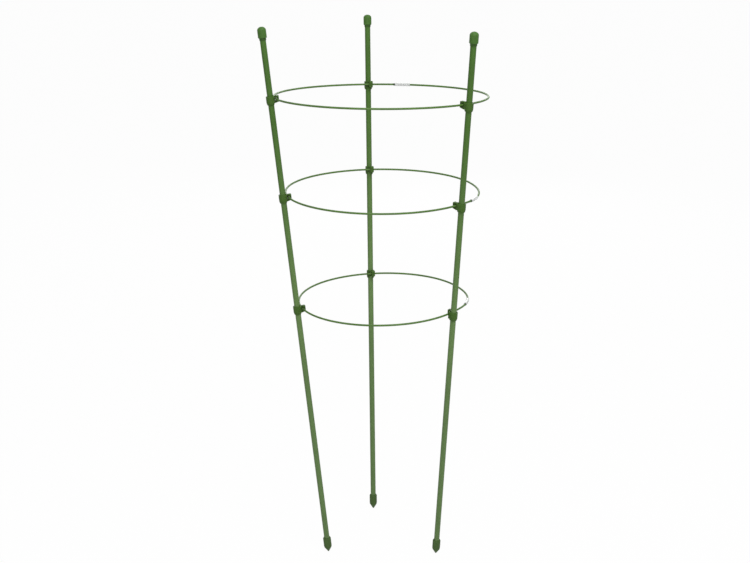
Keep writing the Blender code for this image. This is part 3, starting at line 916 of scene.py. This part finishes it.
class MakeClips(bpy.types.Operator):
    """Make the nine clips, each a collar round its stake with a hook and a post for the wire"""

    bl_idname = "plant_support.make_clips"
    bl_label = "Make Clips"

    def execute(self, context):
        stakes = context.scene.support_stakes
        clips = context.scene.support_clips
        green = moulded_green(
            "clip_green",
            clips.colour,
            shade_painted_by_place=lambda tree: self.pocket_shadow_paint(tree, clips),
        )
        meshes = {hand: self.clip_mesh(stakes, clips, hand) for hand in (-1, 1)}
        for ring in RINGS:
            for side in SIDES:
                node = f"{ring}_ring_{side}_clip"
                mesh = meshes[HOOK_SIDE[ring, side]]
                seat = clip_frame(ring, side)
                clip = place(f"{node}_moulded", mesh, seat, "clips", [node], "moulded_green", green)
                self.soften(clip, clips)
        return {"FINISHED"}

    def soften(self, clip, clips):
        """Join the blocks of a clip into one skin and round its corners."""
        skin = clip.modifiers.new("Soften", "REMESH")
        skin.mode = "VOXEL"
        skin.voxel_size = clips.grain
        skin.use_smooth_shade = True
        smooth = clip.modifiers.new("Smooth", "SMOOTH")
        smooth.factor = 0.5
        smooth.iterations = clips.rounds

    def pocket_shadow_paint(self, tree, clips):
        """Painted shade for the shadow in the hook's pocket: the plastic is darkest in the notch and full a
        few millimetres from the wire.
        """
        spot = tree.nodes.new("ShaderNodeTexCoord").outputs["Object"]
        middle = (-clips.reach, 0.0, 0.0)
        across = add_node(tree, "ShaderNodeMapping", Vector=spot, Scale=(1.0, 0.0, 1.0), Location=middle)
        away = add_node(tree, "ShaderNodeVectorMath", operation="LENGTH", Vector=across.outputs["Vector"])
        patchy = vary(tree, grain(tree, spot, 500.0), -UNEVEN, UNEVEN)
        away = calculate(tree, "ADD", away.outputs["Value"], patchy)
        near, far = clips.notch * DARK_WITHIN, clips.prong_above * PLAIN_BEYOND
        return spread(tree, away, near, far, 1.0 - clips.pocket_shade, 1.0)

    def clip_mesh(self, stakes, clips, hand):
        """A collar with a hook on one side and a post on the other, still as overlapping blocks."""
        bm = bmesh.new()
        bore = stakes.diameter / 2 + clips.play
        opening = math.asin(clips.mouth / (bore + clips.wall / 2))
        self.add_collar(bm, collar_outline(stakes, clips), opening)
        web = clips.mouth + clips.web
        closed = clips.notch * 2 - SLIT
        beside_stake = math.sqrt(bore ** 2 - clips.mouth ** 2)
        before_stake = bore + OVERLAP
        beside = clips.mouth - OVERLAP
        back = hook_outline(clips, closed)
        front = hook_outline(clips, clips.nib)
        post = post_outline(clips)
        self.add_slice(bm, back, clips.hook_start * hand, clips.mouth * hand, before_stake)
        self.add_slice(bm, back, beside * hand, web * hand, beside_stake)
        self.add_slice(bm, front, (web - OVERLAP) * hand, clips.hook_end * hand, beside_stake)
        self.add_slice(bm, post, -clips.hook_start * hand, -clips.mouth * hand, before_stake)
        self.add_slice(bm, post, -beside * hand, -clips.hook_end * hand, beside_stake)
        return mesh_from(bm, "clip")

    def add_collar(self, bm, outline, opening):
        """Add the collar: its wall turned round the stake, from one side of its opening to the other."""
        start = Matrix.Rotation(opening, 3, "Z")
        corners = [bm.verts.new(start @ Vector((x, 0.0, z))) for x, z in outline]
        edges = [bm.edges.new((corners[i - 1], corners[i])) for i in range(len(corners))]
        angle = math.tau - 2 * opening
        bmesh.ops.spin(bm, geom=corners + edges, axis=UP, angle=angle, steps=56)
        bmesh.ops.holes_fill(bm, edges=[edge for edge in bm.edges if edge.is_boundary])

    def add_slice(self, bm, outline, start, end, inner):
        """Add a slice from one distance along the wire to another, cut off where the stake is."""
        outline = [(max(x, inner), z) for x, z in outline]
        rims = [[bm.verts.new((x, along, z)) for x, z in outline] for along in (start, end)]
        for rim in rims:
            bm.faces.new(rim)
        for i in range(len(outline)):
            bm.faces.new((rims[0][i - 1], rims[0][i], rims[1][i], rims[1][i - 1]))


class SetStage(bpy.types.Operator):
    """Lay the floor, hang the lamps and set the camera"""

    bl_idname = "plant_support.set_stage"
    bl_label = "Set Stage"

    def execute(self, context):
        stage = context.scene.support_stage
        self.lay_floor(stage)
        self.light_room(context.scene, stage)
        for name, (spot, width) in LAMPS.items():
            self.hang_lamp(f"{name}_lamp", spot, width, getattr(stage, name))
        self.set_camera(context.scene, stage)
        context.scene.view_settings.view_transform = "Standard"
        return {"FINISHED"}

    def lay_floor(self, stage):
        """A plain disc that is white to the camera and keeps a faint shadow."""
        bm = bmesh.new()
        bmesh.ops.create_circle(bm, cap_ends=True, segments=96, radius=FLOOR_RADIUS)
        mesh = mesh_from(bm, "floor")
        floor = bpy.data.objects.new("floor", mesh)
        floor.location.z = -FLOOR_DROP
        bpy.context.scene.collection.objects.link(floor)
        material, tree, shader = new_finish("floor_paper")
        tree.nodes.remove(shader)
        paper = add_node(tree, "ShaderNodeBsdfDiffuse", Color=opaque(stage.floor_colour))
        white = add_node(tree, "ShaderNodeEmission", Strength=1.0)
        seen = calculate(tree, "MULTIPLY", seen_directly(tree), FLOOR_GLOW)
        mix_shaders(tree, seen, paper, white, "Material Output")
        mesh.materials.append(material)

    def light_room(self, scene, stage):
        """Even light from all round, and white behind the support."""
        world = bpy.data.worlds.new("white_room")
        world.use_nodes = True
        tree = world.node_tree
        room = tree.nodes["Background"]
        room.inputs["Color"].default_value = WHITE
        room.inputs["Strength"].default_value = stage.sky
        backdrop = add_node(tree, "ShaderNodeBackground", Color=WHITE, Strength=1.0)
        mix_shaders(tree, seen_directly(tree), room, backdrop, "World Output")
        scene.world = world

    def hang_lamp(self, name, spot, width, watts):
        """A round lamp that points at the support."""
        light = bpy.data.lights.new(name, "AREA")
        light.shape = "DISK"
        light.size = width
        light.energy = watts
        lamp = bpy.data.objects.new(name, light)
        lamp.location = spot
        lamp.rotation_euler = (Vector(spot) - LIT_SPOT).to_track_quat("Z", "Y").to_euler()
        bpy.context.scene.collection.objects.link(lamp)

    def set_camera(self, scene, stage):
        """The camera stands 1.5 m in front of the support and looks down on it a little."""
        data = bpy.data.cameras.new("camera")
        data.sensor_width = 36.0
        data.lens = stage.focal_length
        camera = bpy.data.objects.new("camera", data)
        yaw, pitch, roll = (math.radians(angle) for angle in CAMERA_TURNS)
        turn = Matrix.Rotation(yaw, 4, "Z") @ Matrix.Rotation(pitch, 4, "X") @ Matrix.Rotation(roll, 4, "Z")
        camera.matrix_world = Matrix.Translation(CAMERA_PLACE) @ turn
        scene.collection.objects.link(camera)
        scene.camera = camera


OPERATORS = (MakeStakes, MakeCaps, MakeTips, MakeRings, MakeSleeves, MakeClips, SetStage)
SETTINGS = {
    "support_stakes": StakeSettings,
    "support_ends": EndSettings,
    "support_rings": RingSettings,
    "support_sleeves": SleeveSettings,
    "support_clips": ClipSettings,
    "support_stage": StageSettings,
}


class PlantSupportPanel(bpy.types.Panel):
    """Sizes, colours and pieces of the plant support"""

    bl_idname = "VIEW3D_PT_plant_support"
    bl_label = "Plant Support"
    bl_space_type = "VIEW_3D"
    bl_region_type = "UI"
    bl_category = "Plant Support"

    def draw(self, context):
        layout = self.layout
        for operator in OPERATORS:
            layout.operator(operator.bl_idname)
        for name, group in SETTINGS.items():
            box = layout.box()
            box.label(text=name.replace("support_", "").capitalize())
            for setting in group.__annotations__:
                box.prop(getattr(context.scene, name), setting)


def register():
    for item in (*SETTINGS.values(), *OPERATORS, PlantSupportPanel):
        bpy.utils.register_class(item)
    for name, group in SETTINGS.items():
        setattr(bpy.types.Scene, name, PointerProperty(type=group))


def unregister():
    for name in SETTINGS:
        delattr(bpy.types.Scene, name)
    for item in reversed((*SETTINGS.values(), *OPERATORS, PlantSupportPanel)):
        bpy.utils.unregister_class(item)


def main():
    register()
    bpy.ops.plant_support.make_stakes()
    bpy.ops.plant_support.make_caps()
    bpy.ops.plant_support.make_tips()
    bpy.ops.plant_support.make_rings()
    bpy.ops.plant_support.make_sleeves()
    bpy.ops.plant_support.make_clips()
    bpy.ops.plant_support.set_stage()
    bpy.context.view_layer.update()


if __name__ == "__main__":
    main()
